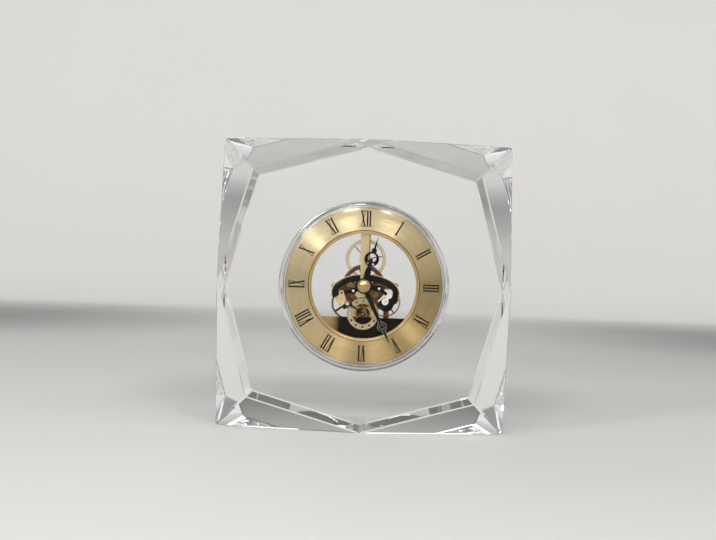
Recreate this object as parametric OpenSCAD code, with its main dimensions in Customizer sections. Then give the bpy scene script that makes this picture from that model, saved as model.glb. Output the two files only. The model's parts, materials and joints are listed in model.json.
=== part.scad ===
// Crystal desk clock: a faceted crystal block with a skeleton movement in a clear case.
// X runs to the right, Y runs back from the dial, Z up. The origin is the middle of the base.

/* [Crystal block] */
// Width of the block
block_w = 120; // [112:1:140]
// Height of the block
block_h = 120; // [112:1:140]
// Thickness of the block, front to back
block_t = 50; // [44:1:60]
// Distance of each inner facet corner from the block's sides
facet_inset = 13.3; // [9:0.1:15]
// How far each outer corner is cut back from the face
facet_drop = 14; // [8:0.5:18]

/* [Clear case] */
// Wall of the case around the movement
case_wall = 2.1; // [1.8:0.1:2.5]
// Gap between the case and the block's bore
case_play = 0.3; // [0.2:0.05:0.4]
// How far the clear bezel laps over the block around the bore
bezel_lap = 1.5; // [1:0.1:2.5]
// Wall of the clear bezel
bezel_wall = 2.9; // [2.4:0.1:3.2]
// Depth of the ledge that the rear window rests on
window_ledge = 0.7; // [0.5:0.1:1]
// Thickness of the clear lens
lens_t = 1.5; // [1:0.1:1.6]
// Radius of the bezel's rounded front edge
bezel_round = 1.8; // [0.5:0.1:2.2]
// Depth of the case behind the block's front face
case_depth = 20.5; // [20:0.1:24]
// Thickness of the rear window
window_t = 1.5; // [1:0.1:1.8]
// Thickness of the ring that holds the rear window
retainer_t = 1; // [0.6:0.1:1.2]
// Width of the ring that holds the rear window
retainer_w = 1.2; // [0.8:0.1:1.6]
// Width of the rubber grip band
band_w = 8; // [4:0.5:10]
// Depth of the band's groove in the case
band_groove = 0.8; // [0.4:0.1:1]

/* [Dial] */
// Wall of the case outside the chapter ring
ring_wall = 0.65; // [0.5:0.05:0.9]
// Width of the chapter ring
ring_w = 10.75; // [10:0.05:11.4]
// Thickness of the chapter ring
ring_t = 0.8; // [0.5:0.1:1]
// Width of the raised lip at the ring's inner edge
lip_w = 1.5; // [1:0.1:1.8]
// Height of the raised lip
lip_h = 0.3; // [0.1:0.05:0.4]
// Gap between the numerals and the raised lip
numeral_foot = 1.45; // [0.9:0.05:1.8]
// Gap between the numerals and the ring's outer edge
numeral_margin = 1.4; // [0.8:0.1:2]
// Thickness of the printed numerals
numeral_t = 0.1; // [0.05:0.05:0.2]
// Width of a thick stroke
thick_stroke = 0.62; // [0.4:0.02:0.7]
// Width of a thin stroke
thin_stroke = 0.26; // [0.16:0.02:0.4]

/* [Hands] */
// Minutes shown past twelve
shown_minutes = 25.7; // [0:0.1:59.9]
// Angle by which the hour hand stands ahead of its true place
hour_hand_slip = 1.7; // [-3:0.1:3]
// Length of the hour hand from the centre
hour_hand_l = 21.3; // [19:0.1:22]
// Length of the minute hand from the centre
minute_hand_l = 26.1; // [22.5:0.1:28]
// Thickness of each hand
hand_t = 0.4; // [0.2:0.05:0.5]
// Radius of the hour hand's moon ring
moon_r = 3; // [2.4:0.05:3.2]
// Radius of the minute hand's ring
hand_ring_r = 1.9; // [1.4:0.05:2.2]
// Diameter of the domed centre cap
cap_d = 5.3; // [4:0.1:6]
// Height of the domed centre cap
cap_h = 1.1; // [0.8:0.1:1.4]
// Gap between the centre cap and the lens
cap_gap = 0.5; // [0.3:0.1:1.5]

/* [Movement plates] */
// Rim of the oval front plate outside its pillars
plate_rim = 1.8; // [1.5:0.1:2.2]
// Half height of the oval front plate
plate_rz = 7.7; // [7.4:0.05:8]
// Width of the oval plate's band
plate_band = 3; // [2.4:0.1:3.6]
// Thickness of the front plate
front_plate_t = 1; // [0.8:0.1:1]
// Thickness of the back plate
back_plate_t = 1; // [0.8:0.1:1.4]
// Width of the back plate's arms
back_arm_w = 2.6; // [2:0.1:3.2]
// Width of the hanging bridge
bridge_w = 4; // [3.4:0.1:4.6]
// Thickness of the hanging bridge and the cocks
bridge_t = 1; // [0.8:0.1:1.1]
// Sideways place of the hanging bridge
bridge_x = 0.2; // [0:0.1:0.6]
// Diameter of the pillars between the plates
pillar_d = 1.4; // [1:0.1:1.5]

/* [Wheel train] */
// Distance from the hands' axis to the minute wheel's axis
motion_distance = 11; // [10.6:0.1:11.2]
// Sideways place of the minute wheel's axis
motion_x = 0.5; // [0:0.1:0.8]
// Tooth size of the third wheel
third_module = 0.225; // [0.215:0.001:0.227]
// Gap between the hour wheel's teeth and the third wheel's arbor
arbor_gap = 0.3; // [0.2:0.01:0.4]
// Gap between the third wheel's teeth and its pillar
left_pillar_gap = 0.93; // [0.4:0.01:1.2]
// Gap between the right-hand wheel's teeth and its pillar
right_pillar_gap = 0.15; // [0.12:0.01:0.6]
// Tip radius of the right-hand wheel
right_tip_r = 6.58; // [6.2:0.02:6.9]
// Distance of the seconds axis below the hands' axis
seconds_drop = 11.4; // [11.2:0.1:11.6]
// Thickness of the wheels
wheel_t = 0.5; // [0.3:0.05:0.6]
// Thickness of the pinions
pinion_t = 1; // [0.8:0.1:1.2]
// Radius of the arbors
arbor_r = 0.4; // [0.34:0.02:0.42]
// Radius of the pivots at the arbors' ends
pivot_r = 0.28; // [0.2:0.02:0.3]
// Outer radius of the seconds ring
seconds_ring_r = 6.5; // [6:0.1:6.6]
// Width of the seconds ring
seconds_ring_w = 2.3; // [1.8:0.1:2.6]
// Radius of the jewels
jewel_r = 0.85; // [0.7:0.05:0.9]

/* [Power] */
// Diameter of the button cell
cell_d = 11.6; // [11.6]
// Thickness of the button cell
cell_t = 5.4; // [5.4]
// Gap between the motor capsule and the battery housing
cell_gap = 1.6; // [1.2:0.1:2.4]
// Wall of the battery housing below the lid
cell_rim = 1; // [0.8:0.1:1.4]
// Radius of the motor capsule
capsule_r = 2.9; // [2.4:0.1:3.1]
// Distance of the crescent's top edge below the seconds axis
crescent_drop = 1.4; // [1.2:0.1:1.8]
// Height of the battery lid's head above the rear window
lid_head_t = 1; // [0.6:0.1:1.6]
// Diameter of the setting knob
knob_d = 3.6; // [3.2:0.1:5]
// Length of the setting knob
knob_l = 5; // [3:0.1:6]

/* [Hidden] */

// Tooth counts, which set the ratios between the hands
cannon_teeth = 24;
minute_teeth = 72;
minute_leaves = 18;
hour_teeth = 72;
centre_teeth = 64;
third_leaves = 8;
third_teeth = 60;
seconds_leaves = 8;
seconds_teeth = 40;
right_leaves = 16;
right_teeth = 58;
// Share of the tooth pitch left open, and the widths of a tooth's tip and foot against its middle
tooth_play = 0.12;
tip_share = 0.42;
foot_share = 1.15;
leaf_foot_share = 0.85;
// Height of a tooth outside the pitch circle and its depth inside, in tooth sizes
tooth_rise = 0.9;
tooth_depth = 1.25;

// Clearances
running_gap = 0.04;
case_gap = 0.1;
layer_gap = 0.4;
hand_gap = 0.4;
band_squeeze = 0.05;

// Places and radii of the main pieces
axis_z = block_h / 2;
face_y = -block_t / 2;
pocket_r = cell_d / 2 + 0.3;
lid_plug_r = pocket_r + 0.3;
mouth_wall = 0.9;
cell_drop = seconds_drop + capsule_r + cell_gap + mouth_wall + lid_plug_r;
case_bore_r = cell_drop + lid_plug_r + cell_rim;
case_r = case_bore_r + case_wall;
bore_r = case_r + case_play;
bezel_r = bore_r + bezel_lap;
bezel_bore_r = bezel_r - bezel_wall;
ring_r = case_r - ring_wall;
ring_bore_r = ring_r - ring_w;
window_seat_r = case_bore_r + window_ledge;
numeral_h = ring_w - lip_w - numeral_margin - numeral_foot;

// Depth levels, front to back
ring_y = face_y;
bridge_y = ring_y + ring_t;
plate_y = bridge_y + bridge_t;
hour_hand_y = face_y - lip_h - hand_gap - hand_t;
minute_hand_y = hour_hand_y - hand_gap - hand_t;
bezel_h = face_y - minute_hand_y + cap_h + cap_gap + lens_t;
arm_t = 0.6;
arm_y = bridge_y - arm_t;
seconds_ring_y = bridge_y + 0.2;
seconds_ring_t = 0.5;
hour_wheel_y = plate_y + front_plate_t + layer_gap;
hour_wheel_t = 0.6;
minute_pinion_y = hour_wheel_y - (pinion_t - hour_wheel_t) / 2;
cannon_y = minute_pinion_y + pinion_t + 0.1;
minute_wheel_y = cannon_y + (pinion_t - wheel_t) / 2;
centre_pinion_y = cannon_y + pinion_t + 0.2;
centre_wheel_y = centre_pinion_y + (pinion_t - wheel_t) / 2;
seconds_pinion_y = centre_pinion_y + pinion_t + 0.2;
third_wheel_y = seconds_pinion_y + (pinion_t - wheel_t) / 2;
window_y = face_y + case_depth - retainer_t - window_t;
case_back_y = face_y + case_depth;
electrics_room = 5.2;
back_plate_y = window_y - electrics_room;

// Battery housing levels
fascia_y = plate_y;
fascia_t = 1.3;
foot_h = 1.9;
housing_drop = seconds_drop + crescent_drop;
seconds_gear_module = 2 * (seconds_ring_r - seconds_ring_w) / seconds_teeth;
seconds_gear_tip_r = seconds_gear_module * (seconds_teeth / 2 + tooth_rise);
housing_body_drop = seconds_drop + seconds_gear_tip_r + 0.3;
housing_foot_drop = housing_body_drop + foot_h;
lid_plug_t = 3.6;
contact_t = 0.3;
cell_y = window_y + window_t - lid_plug_t - 0.4 - cell_t;
contact_y = cell_y - contact_t;

// Wheel axes, measured from the hands' axis
motion_axis = [motion_x, sqrt(pow(motion_distance, 2) - pow(motion_x, 2))];
motion_module = 2 * motion_distance / (cannon_teeth + minute_teeth);
hour_module = 2 * motion_distance / (minute_leaves + hour_teeth);
hour_tip_r = hour_module * (hour_teeth / 2 + tooth_rise);
third_distance = hour_tip_r + arbor_r + arbor_gap;
centre_module = 2 * third_distance / (centre_teeth + third_leaves);
seconds_distance = third_module * (third_teeth + seconds_leaves) / 2;
third_down = (pow(third_distance, 2) - pow(seconds_distance, 2) + pow(seconds_drop, 2)) / (2 * seconds_drop);
third_axis = [-sqrt(pow(third_distance, 2) - pow(third_down, 2)), -third_down];
seconds_axis = [0, -seconds_drop];
right_distance = centre_module * (centre_teeth + right_leaves) / 2;
right_axis_angle = -34.4;
right_axis = right_distance * [cos(right_axis_angle), sin(right_axis_angle)];
right_module = right_tip_r / (right_teeth / 2 + tooth_rise);
third_tip_r = third_module * (third_teeth / 2 + tooth_rise);
cell_axis = [0, -cell_drop];

// Places of the pillars and screws on the plates
pillar_r = pillar_d / 2;
left_pillar = third_axis + polar(third_tip_r + pillar_r + left_pillar_gap, 129.9);
right_pillar = right_axis + polar(right_tip_r + pillar_r + right_pillar_gap, 58);
plate_rx = (right_pillar[0] - left_pillar[0]) / 2 + plate_rim;
plate_centre = [(right_pillar[0] + left_pillar[0]) / 2 + 0.3, -2.8];
boss_screws = [[-0.298 * plate_rx, -2.1], [0.444 * plate_rx, -0.9]];
bridge_screw_x = 2.6;
bridge_foot_w = 2 * bridge_screw_x + 3.8;
housing_screw_x = 7;
housing_screw_z = -(housing_body_drop + housing_foot_drop) / 2;

// Rest angles, anticlockwise from the right as seen from the front
minute_angle = 6 * shown_minutes;
hour_angle = shown_minutes / 2 + hour_hand_slip;
cannon_phase = 90 - minute_angle;
minute_phase = mesh_phase(angle_of(motion_axis), cannon_phase, cannon_teeth, minute_teeth);
hour_phase = mesh_phase(angle_of(-motion_axis), minute_phase, minute_leaves, hour_teeth);
third_phase = mesh_phase(angle_of(third_axis), cannon_phase, centre_teeth, third_leaves);
seconds_phase = mesh_phase(angle_of(seconds_axis - third_axis), third_phase, third_teeth, seconds_leaves);
right_phase = mesh_phase(angle_of(right_axis), cannon_phase, centre_teeth, right_leaves);

function angle_of(v) = atan2(v[1], v[0]);

// Phase of a driven wheel whose gap meets the driver's tooth on the line of centres
function mesh_phase(line, driver_phase, driver_teeth, driven_teeth) =
    line + 180 - (0.5 - (line - driver_phase) * driver_teeth / 360) * 360 / driven_teeth;

function polar(r, a) = [r * cos(a), r * sin(a)];

// Profile of a shallow round dome of radius r and height h, from its rim to its top
function dome_points(r, h) =
    let (ball_r = (r * r + h * h) / (2 * h), lean = asin(r / ball_r))
    [for (k = [10:-1:0]) [ball_r * sin(lean * k / 10), h - ball_r + ball_r * cos(lean * k / 10)]];

// Outline of a toothed wheel: six points a tooth, from foot to pitch circle to tip and back
function tooth(r, m, a, half, foot) = [
    polar(r - tooth_depth * m, a - half * foot), polar(r, a - half), polar(r + tooth_rise * m, a - half * tip_share),
    polar(r + tooth_rise * m, a + half * tip_share), polar(r, a + half), polar(r - tooth_depth * m, a + half * foot)
];
function gear_points(teeth, m, phase, foot) = [
    for (k = [0:teeth - 1])
        for (p = tooth(teeth * m / 2, m, phase + 360 * k / teeth, 90 / teeth * (1 - tooth_play), foot)) p
];

// A flat drawing in the dial's plane, made a slab that starts at depth y and runs back by t
module slab(y, t) {
    translate([0, y + t, axis_z]) rotate([90, 0, 0]) linear_extrude(t) children();
}

// A turned piece about an axis in the dial's plane: its profile's heights run forward from depth y
module turned(at, y) {
    translate([at[0], y, axis_z + at[1]]) rotate([90, 0, 0]) rotate_extrude($fn = 96) children();
}

module rod(at, y, l, r) {
    slab(y, l) translate(at) circle(r, $fn = 48);
}

module disc_ring(outer, inner) {
    difference() {
        circle(outer, $fn = 128);
        circle(inner, $fn = 128);
    }
}

module gear(at, teeth, m, phase, foot, bore) {
    difference() {
        translate(at) polygon(gear_points(teeth, m, phase, foot));
        translate(at) circle(bore, $fn = 48);
    }
}

// A toothed rim on spokes, the first at angle turn, with a hub bored for its arbor
module spoked_gear(at, teeth, m, phase, rim, spokes, spoke_w, turn, hub, bore) {
    inner = teeth * m / 2 - tooth_depth * m - rim;
    difference() {
        union() {
            gear(at, teeth, m, phase, foot_share, inner);
            translate(at) circle(hub, $fn = 48);
            for (k = [0:spokes - 1])
                translate(at) rotate(turn + 360 * k / spokes)
                    translate([0, -spoke_w / 2]) square([inner + rim / 2, spoke_w]);
        }
        translate(at) circle(bore, $fn = 48);
    }
}

// A straight bar between two points
module bar(a, b, w) {
    run = b - a;
    translate(a) rotate(angle_of(run)) translate([0, -w / 2]) square([norm(run), w]);
}

function oval(c, rx, rz, steps) = [for (k = [0:steps - 1]) c + [rx * cos(360 * k / steps), rz * sin(360 * k / steps)]];

// Crystal block: front and back octagons, four cut-back corners on each face, and a through bore

octagon = [
    [0, block_h / 2], [block_w / 2 - facet_inset, block_h / 2 - facet_inset],
    [block_w / 2, 0], [block_w / 2 - facet_inset, facet_inset - block_h / 2],
    [0, -block_h / 2], [facet_inset - block_w / 2, facet_inset - block_h / 2],
    [-block_w / 2, 0], [facet_inset - block_w / 2, block_h / 2 - facet_inset]
];
outer_corners = [
    [block_w / 2, block_h / 2], [block_w / 2, -block_h / 2],
    [-block_w / 2, -block_h / 2], [-block_w / 2, block_h / 2]
];

function at_depth(points, y) = [for (p = points) [p[0], y, p[1] + axis_z]];

module crystal_shape() {
    points = concat(
        at_depth(octagon, face_y), at_depth(octagon, -face_y),
        at_depth(outer_corners, face_y + facet_drop), at_depth(outer_corners, -face_y - facet_drop)
    );
    front_facets = [for (k = [0:3]) each [
        [2 * k, 16 + k, 2 * k + 1], [2 * k + 1, 16 + k, (2 * k + 2) % 8]
    ]];
    back_facets = [for (k = [0:3]) each [
        [8 + 2 * k, 9 + 2 * k, 20 + k], [9 + 2 * k, 8 + (2 * k + 2) % 8, 20 + k]
    ]];
    sides = [for (k = [0:3]) [
        2 * k, 16 + (k + 3) % 4, 20 + (k + 3) % 4, 8 + 2 * k, 20 + k, 16 + k
    ]];
    polyhedron(
        points = points,
        faces = concat(
            [[for (k = [0:7]) k]], [[for (k = [7:-1:0]) 8 + k]],
            front_facets, back_facets, sides
        )
    );
}

module crystal_block() {
    color("azure", 0.4) difference() {
        crystal_shape();
        translate([0, face_y - 1, axis_z]) rotate([-90, 0, 0]) cylinder(r = bore_r, h = block_t + 2, $fn = 128);
    }
}

// Clear case

module front_lens() {
    round_points = [for (k = [0:6]) [
        bezel_r - bezel_round + bezel_round * cos(15 * k),
        bezel_h - bezel_round + bezel_round * sin(15 * k)
    ]];
    color("white", 0.35) turned([0, 0], face_y) polygon(concat(
        [[bezel_bore_r, 0], [bezel_r, 0]], round_points,
        [[0, bezel_h], [0, bezel_h - lens_t], [bezel_bore_r, bezel_h - lens_t]]
    ));
}

module case_shell() {
    seat_r = ring_r + running_gap;
    groove_at = case_depth / 2;
    groove_r = case_r - band_groove;
    color("white", 0.3) turned([0, 0], face_y) polygon([
        [seat_r, 0], [case_r, 0], [case_r, -groove_at + band_w / 2], [groove_r, -groove_at + band_w / 2],
        [groove_r, -groove_at - band_w / 2], [case_r, -groove_at - band_w / 2], [case_r, -case_depth],
        [window_seat_r, -case_depth], [window_seat_r, face_y - window_y],
        [case_bore_r, face_y - window_y], [case_bore_r, -ring_t], [seat_r, -ring_t]
    ]);
}

module grip_band() {
    color("dimgray") rod_ring(face_y + (case_depth - band_w) / 2, band_w, bore_r - band_squeeze, case_r - band_groove);
}

module rod_ring(y, l, outer, inner) {
    slab(y, l) disc_ring(outer, inner);
}

module rear_window() {
    color("white", 0.35) slab(window_y, window_t) difference() {
        circle(window_seat_r - case_gap / 2, $fn = 128);
        translate(motion_axis) circle(stem_r + 0.3, $fn = 48);
        translate(cell_axis) circle(lid_plug_r + case_gap, $fn = 96);
    }
}

module window_retainer() {
    outer = window_seat_r - case_gap / 2;
    color("silver") rod_ring(window_y + window_t, retainer_t, outer, outer - retainer_w);
}

// Dial

module chapter_ring() {
    color("goldenrod") rod_ring(ring_y, ring_t, ring_r, ring_bore_r);
}

module dial_lip() {
    color("darkgoldenrod") rod_ring(ring_y - lip_h, lip_h, ring_bore_r + lip_w, ring_bore_r);
}

// One stroke of a numeral, cut off level at its foot and head
module stroke(foot_x, head_x, w) {
    h = numeral_h / 2;
    polygon([[foot_x - w / 2, -h], [foot_x + w / 2, -h], [head_x + w / 2, h], [head_x - w / 2, h]]);
}

letter_gap = 0.5;
serif_h = 0.24;
function letter_w(c) = c == "I" ? thick_stroke : c == "V" ? 1.75 : 1.85;
function word_w(word, n) = n == 0 ? 0 : word_w(word, n - 1) + letter_w(word[n - 1]) + letter_gap;

module letter(c) {
    half = letter_w(c) / 2;
    if (c == "I") stroke(0, 0, thick_stroke);
    if (c == "V") {
        stroke(0, -half + thick_stroke / 2, thick_stroke);
        stroke(0, half - thin_stroke / 2, thin_stroke);
    }
    if (c == "X") {
        stroke(half - thick_stroke / 2, -half + thick_stroke / 2, thick_stroke);
        stroke(-half + thin_stroke / 2, half - thin_stroke / 2, thin_stroke);
    }
    serifs = c == "V" ? [1] : [-1, 1];
    for (s = serifs) translate([0, s * (numeral_h - serif_h) / 2]) square([2 * half + letter_gap * 0.8, serif_h], center = true);
}

module numerals() {
    words = ["XII", "I", "II", "III", "IV", "V", "VI", "VII", "VIII", "IX", "X", "XI"];
    middle_r = ring_r - numeral_margin - numeral_h / 2;
    color("black") slab(ring_y - numeral_t, numeral_t)
        for (k = [0:11]) rotate(-30 * k) translate([0, middle_r])
            for (n = [0:len(words[k]) - 1])
                translate([word_w(words[k], n) + (letter_w(words[k][n]) + letter_gap - word_w(words[k], len(words[k]))) / 2, 0])
                    letter(words[k][n]);
}

// Plates, bridge and cocks

eye_r = 3;
hub_r = 3.2;
pipe_r = 1.5;
cannon_pipe_r = 0.92;
centre_r = 0.5;
stem_r = 0.55;
screw_head_r = 0.75;
screw_head_t = 0.5;
screw_slot_w = 0.22;

module hanging_bridge() {
    foot_z = ring_bore_r + 0.4;
    taper_z = motion_distance + 1.4;
    neck_x = -0.65;
    neck = 0.8;
    tongue = [[-1.95, -0.5 - eye_r], [-0.3, -0.4 - eye_r]];
    tongue_r = 1.35;
    color("wheat") slab(bridge_y, bridge_t) difference() {
        union() {
            translate([bridge_x - bridge_w / 2, taper_z]) square([bridge_w, foot_z + bridge_w - taper_z]);
            polygon([
                [bridge_x - bridge_w / 2, taper_z], [neck_x - neck, eye_r - 0.6],
                [neck_x + neck, eye_r - 0.6], [bridge_x + bridge_w / 2, taper_z]
            ]);
            translate(motion_axis - [0.9, 0]) circle(1.9, $fn = 48);
            circle(eye_r, $fn = 64);
            bar(tongue[0], tongue[1], 2 * tongue_r - 0.3);
            for (p = tongue) translate(p) circle(tongue_r, $fn = 48);
            intersection() {
                disc_ring(case_bore_r - case_gap, foot_z);
                translate([bridge_x - bridge_foot_w / 2, 0]) square([bridge_foot_w, case_bore_r]);
            }
        }
        circle(pipe_r + 0.3, $fn = 64);
        translate(motion_axis) circle(pivot_r + running_gap, $fn = 32);
    }
}

// A slotted screw head at a place in the dial's plane, with its head towards the front or the back
module screw(at, y, r, back) {
    slot_y = back ? y + screw_head_t / 2 : y;
    difference() {
        rod(at, y, screw_head_t, r);
        slab(slot_y - 0.01, screw_head_t / 2 + 0.01) translate(at) rotate(35)
            square([2 * r + 1, screw_slot_w], center = true);
    }
}

module bridge_screws() {
    color("silver") for (s = [-1, 1])
        screw([bridge_x + s * bridge_screw_x, (ring_bore_r + case_bore_r) / 2], bridge_y + bridge_t, screw_head_r, true);
}

module front_plate() {
    lobe = right_axis + [3.1, 1.1];
    lobe_low = right_axis + [0.4, -0.9];
    left_end = left_pillar + [0, -2.9];
    floor_z = plate_centre[1] - 1.6;
    color([0.14, 0.11, 0.08]) slab(plate_y, front_plate_t) difference() {
        union() {
            intersection() {
                difference() {
                    polygon(oval(plate_centre, plate_rx, plate_rz, 72));
                    polygon(oval(plate_centre, plate_rx - plate_band, plate_rz - plate_band, 72));
                }
                translate([-block_w / 4, floor_z]) square([block_w / 2, plate_rz * 2]);
            }
            circle(eye_r + 0.6, $fn = 64);
            for (p = boss_screws) {
                bar([0, 0], p, 2.1);
                translate(p) circle(1.35, $fn = 48);
            }
            bar(boss_screws[1], lobe, 1.4);
            bar(boss_screws[0], left_end, 1.2);
            translate(left_end) circle(1.5, $fn = 48);
            translate(lobe) circle(2.3, $fn = 48);
            translate(lobe_low) circle(3.2, $fn = 64);
        }
        circle(pipe_r + running_gap, $fn = 64);
        translate(right_axis) circle(jewel_r + 0.6, $fn = 48);
    }
}

boss_rim = 0.35;
foot_w = 2.8;
module back_plate() {
    color("darkgoldenrod") slab(back_plate_y, back_plate_t) difference() {
        union() {
            for (p = [motion_axis, third_axis, right_axis, seconds_axis, left_pillar, right_pillar]) {
                bar([0, 0], p, back_arm_w);
                translate(p) circle(back_arm_w / 2 + boss_rim, $fn = 48);
            }
            for (s = [-1, 1]) {
                bar(seconds_axis, [s * housing_screw_x, housing_screw_z], back_arm_w - 0.4);
                translate([s * housing_screw_x - foot_w / 2, -housing_foot_drop])
                    square([foot_w, housing_foot_drop - housing_body_drop + 1]);
            }
            circle(hub_r, $fn = 64);
        }
        for (p = [[0, 0], third_axis, right_axis]) translate(p) circle(pivot_r + running_gap, $fn = 32);
        translate(seconds_axis) circle(arbor_r + running_gap, $fn = 32);
        translate(motion_axis) circle(stem_r + running_gap, $fn = 32);
    }
}

module plate_pillars() {
    from_y = plate_y + front_plate_t;
    color("goldenrod") for (p = [left_pillar, right_pillar])
        rod(p, from_y, back_plate_y - from_y, pillar_r);
}

module plate_screws() {
    color("silver") for (p = boss_screws)
        screw(p, plate_y - screw_head_t, 0.55, false);
}

module pillar_screws() {
    color("silver") for (p = [left_pillar, right_pillar])
        screw(p, back_plate_y + back_plate_t, screw_head_r, true);
}

cock_square = 3.6;
cock_middle = third_axis + [-2.8, 1.5];
module left_cock() {
    hook = third_axis + [-2.55, 4.25];
    hook_r = 1.05;
    color("gold") slab(bridge_y, bridge_t) difference() {
        union() {
            translate(cock_middle) rotate(32) square(cock_square, center = true);
            bar(third_axis, cock_middle, 1.4);
            bar(cock_middle + [0.9, 0], hook + [0.6, 0], 0.8);
            translate(hook) circle(hook_r, $fn = 48);
            translate(third_axis) circle(jewel_r + 0.15, $fn = 48);
        }
        translate(third_axis) circle(jewel_r, $fn = 48);
        translate(hook) circle(hook_r - 0.6, $fn = 32);
    }
}

module right_cock() {
    root = right_axis + [1.6, 2.5];
    elbow = right_axis + [-1, 1.75];
    arm_end = right_axis + [-2.9, -0.1];
    arm_w = 0.6;
    color("wheat") slab(bridge_y, bridge_t) difference() {
        union() {
            translate(root) rotate(-25) square([2.2, 1.8], center = true);
            bar(right_axis, root, 1.3);
            bar(root, elbow, arm_w);
            bar(elbow, arm_end, arm_w);
            translate(elbow) circle(arm_w * 0.7, $fn = 32);
            translate(right_axis) circle(jewel_r + 0.5, $fn = 48);
        }
        translate(right_axis) circle(jewel_r, $fn = 48);
    }
}

module seconds_arm() {
    knees = [third_axis + [-1.1, -1.7], third_axis + [1.3, -0.5]];
    color([0.12, 0.09, 0.07]) slab(arm_y, arm_t) difference() {
        union() {
            for (p = knees) {
                bar(third_axis, p, 1);
                translate(p) circle(0.75, $fn = 48);
            }
            bar(knees[1], seconds_axis, 0.6);
            translate(third_axis) circle(jewel_r + 0.25, $fn = 48);
            translate(seconds_axis) circle(0.65, $fn = 48);
        }
        translate(third_axis) circle(jewel_r, $fn = 48);
        translate(seconds_axis) circle(pivot_r + running_gap, $fn = 32);
    }
}

module pivot_jewels() {
    color("hotpink") for (p = [third_axis, right_axis])
        slab(bridge_y, bridge_t) translate(p) disc_ring(jewel_r, pivot_r + running_gap);
}

// Battery housing and electrics

module segment(r, drop) {
    intersection() {
        circle(r, $fn = 128);
        translate([-r, -2 * r]) square([2 * r, 2 * r - drop]);
    }
}

module battery_housing() {
    r = case_bore_r - case_gap;
    color([0.1, 0.08, 0.07]) difference() {
        union() {
            slab(fascia_y, fascia_t) segment(r, housing_drop);
            slab(fascia_y + fascia_t, back_plate_y - fascia_y - fascia_t) segment(r, housing_body_drop);
            slab(back_plate_y, window_y - back_plate_y) segment(r, housing_foot_drop);
            rod(cell_axis, back_plate_y, window_y - back_plate_y, lid_plug_r + mouth_wall);
        }
        rod(cell_axis, contact_y, window_y - contact_y + 1, pocket_r);
        slab(cell_y, cell_t) translate(cell_axis + [0, pocket_r]) square([3.4, 2 * contact_t], center = true);
        rod(cell_axis, cell_y + cell_t + 0.3, window_y - cell_y, lid_plug_r + running_gap);
    }
}

module housing_screws() {
    color("silver") for (s = [-1, 1])
        screw([s * housing_screw_x, housing_screw_z], back_plate_y + back_plate_t, screw_head_r, true);
}

module button_cell() {
    step = 0.6;
    color("silver") {
        rod(cell_axis, cell_y + step, cell_t - step, cell_d / 2);
        rod(cell_axis, cell_y, step, cell_d / 2 - 0.9);
    }
}

module contact_negative() {
    color("gold") slab(contact_y, contact_t) translate(cell_axis) square([3, 2 * pocket_r - 1.5], center = true);
}

module contact_positive() {
    color("gold") slab(cell_y + 0.8, cell_t - 1.2)
        translate(cell_axis + [0, cell_d / 2 + contact_t / 2 + 0.03]) square([3, contact_t], center = true);
}

board_t = 0.6;
board_top = -1;
board_low = -9.6;
board_w = 15;
board_back_y = back_plate_y + back_plate_t + board_t;
capsule_l = 3.4;
coil_r = 1.3;
coil_l = 5.2;
coil_flange = 0.3;
coil_middle = [9.7, -11];
coil_y = board_back_y + coil_r + 0.35;
core_t = 0.6;
core_w = 0.9;

module circuit_board() {
    color([0.25, 0.14, 0.08]) slab(back_plate_y + back_plate_t, board_t) difference() {
        translate([-board_w / 2, board_low]) square([board_w, board_top - board_low]);
        translate(seconds_axis) circle(capsule_r + 0.2, $fn = 64);
    }
}

module quartz_can() {
    can_r = 0.8;
    color("silver") translate([-6.2, board_back_y + can_r, axis_z - 3.2]) rotate([0, 90, 0])
        cylinder(r = can_r, h = 4.6, $fn = 48);
}

module driver_chip() {
    chip_r = 1.9;
    chip_h = 0.8;
    color([0.08, 0.08, 0.08]) mirror([0, 1, 0]) turned([3.6, -3.4], -board_back_y)
        polygon(concat([[0, 0]], dome_points(chip_r, chip_h)));
}

module motor_coil() {
    low_z = axis_z + coil_middle[1] - coil_l / 2;
    flange_t = 0.5;
    color("chocolate") difference() {
        translate([coil_middle[0], coil_y, low_z]) {
            cylinder(r = coil_r, h = coil_l, $fn = 48);
            for (z = [0, coil_l - flange_t])
                translate([0, 0, z]) cylinder(r = coil_r + coil_flange, h = flange_t, $fn = 48);
        }
        slab(coil_y - core_t / 2, core_t) translate(coil_middle) square([core_w, coil_l + 2], center = true);
    }
}

// The core runs down through the coil, and an arm from each of its ends reaches the capsule
module motor_stator() {
    half = coil_l / 2 + 0.6;
    corner_x = coil_middle[0] - coil_r - coil_flange - 0.9;
    reach = capsule_r / 2;
    color("slategray") slab(coil_y - core_t / 2, core_t) difference() {
        union() {
            translate(coil_middle) square([core_w, 2 * half + core_w], center = true);
            for (s = [-1, 1]) {
                end = coil_middle + [0, s * half];
                corner = [corner_x, end[1]];
                bar(end, corner, core_w);
                translate(corner) circle(core_w * 0.62, $fn = 32);
                bar(corner, seconds_axis + [reach, s * reach], core_w);
            }
        }
        translate(seconds_axis) circle(capsule_r, $fn = 64);
    }
}

module motor_capsule() {
    color("gray") difference() {
        rod(seconds_axis, back_plate_y + back_plate_t, capsule_l, capsule_r);
        rod(seconds_axis, back_plate_y + back_plate_t - 0.1, capsule_l - 0.6, arbor_r + running_gap);
    }
}

// Hands and the pieces that turn with them

module centre_arbor() {
    shoulder = 0.1;
    color("silver") {
        rod([0, 0], minute_hand_y, back_plate_y + back_plate_t - minute_hand_y, pivot_r);
        rod([0, 0], minute_hand_y - 0.2, back_plate_y - shoulder - minute_hand_y + 0.2, centre_r);
    }
}

module centre_wheel() {
    color("sienna") slab(centre_wheel_y, wheel_t)
        spoked_gear([0, 0], centre_teeth, centre_module, cannon_phase, 0.8, 5, 0.7, 20, 1.6, centre_r);
}

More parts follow.
